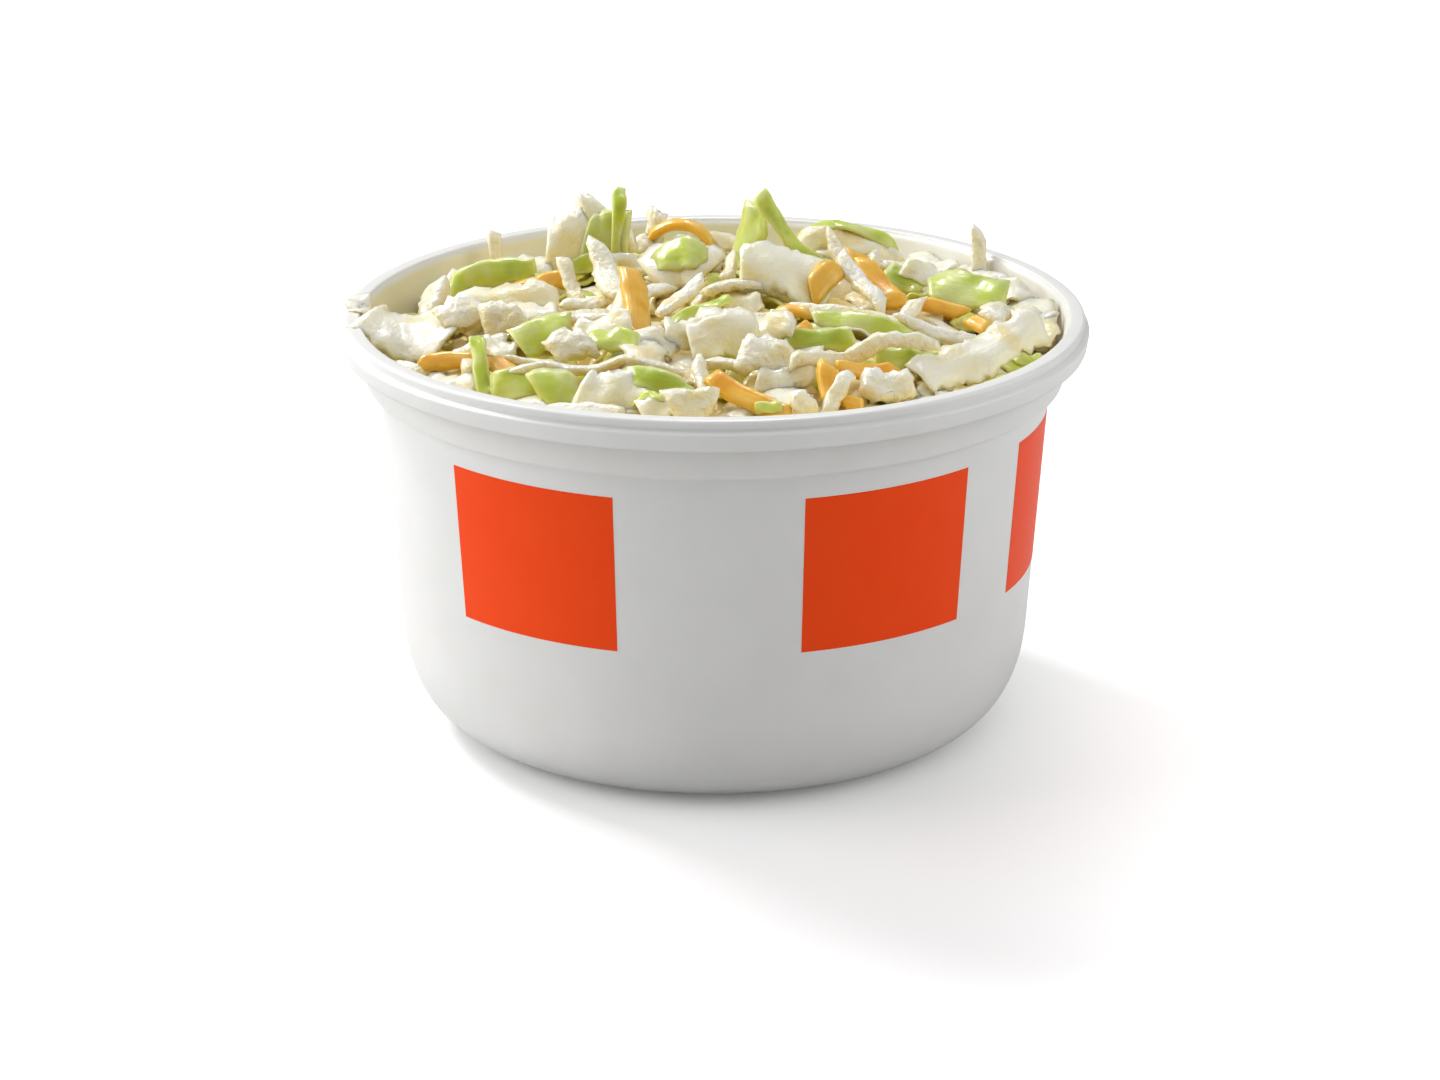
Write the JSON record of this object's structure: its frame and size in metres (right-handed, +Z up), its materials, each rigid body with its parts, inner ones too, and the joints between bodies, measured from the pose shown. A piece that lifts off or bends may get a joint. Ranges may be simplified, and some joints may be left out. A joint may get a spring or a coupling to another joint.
{
  "type": "coleslaw",
  "caption": "Round tapered tub with a stepped collar and a channelled lip, heaped above its mouth with loose shredded cabbage and carrot.",
  "frame": {"origin": "middle of the base, on the surface that the tub stands on", "axes": "+Z up along the tub's axis; -Y is the front; +X is to the right seen from the front"},
  "size_m": [0.117, 0.117, 0.0797],
  "materials": {
    "tub_plastic": "moulded white polypropylene, soft gloss",
    "print_ink": "plain orange-red ink fields printed on the wall",
    "white_cabbage": "wet, slightly see-through cut cabbage in a thin dressing",
    "green_cabbage": "wet cut green cabbage leaf",
    "carrot": "wet cut carrot"
  },
  "bodies": {
    "root": {"tub": "tub_plastic", "slaw": "white_cabbage"}
  },
  "joints": []
}
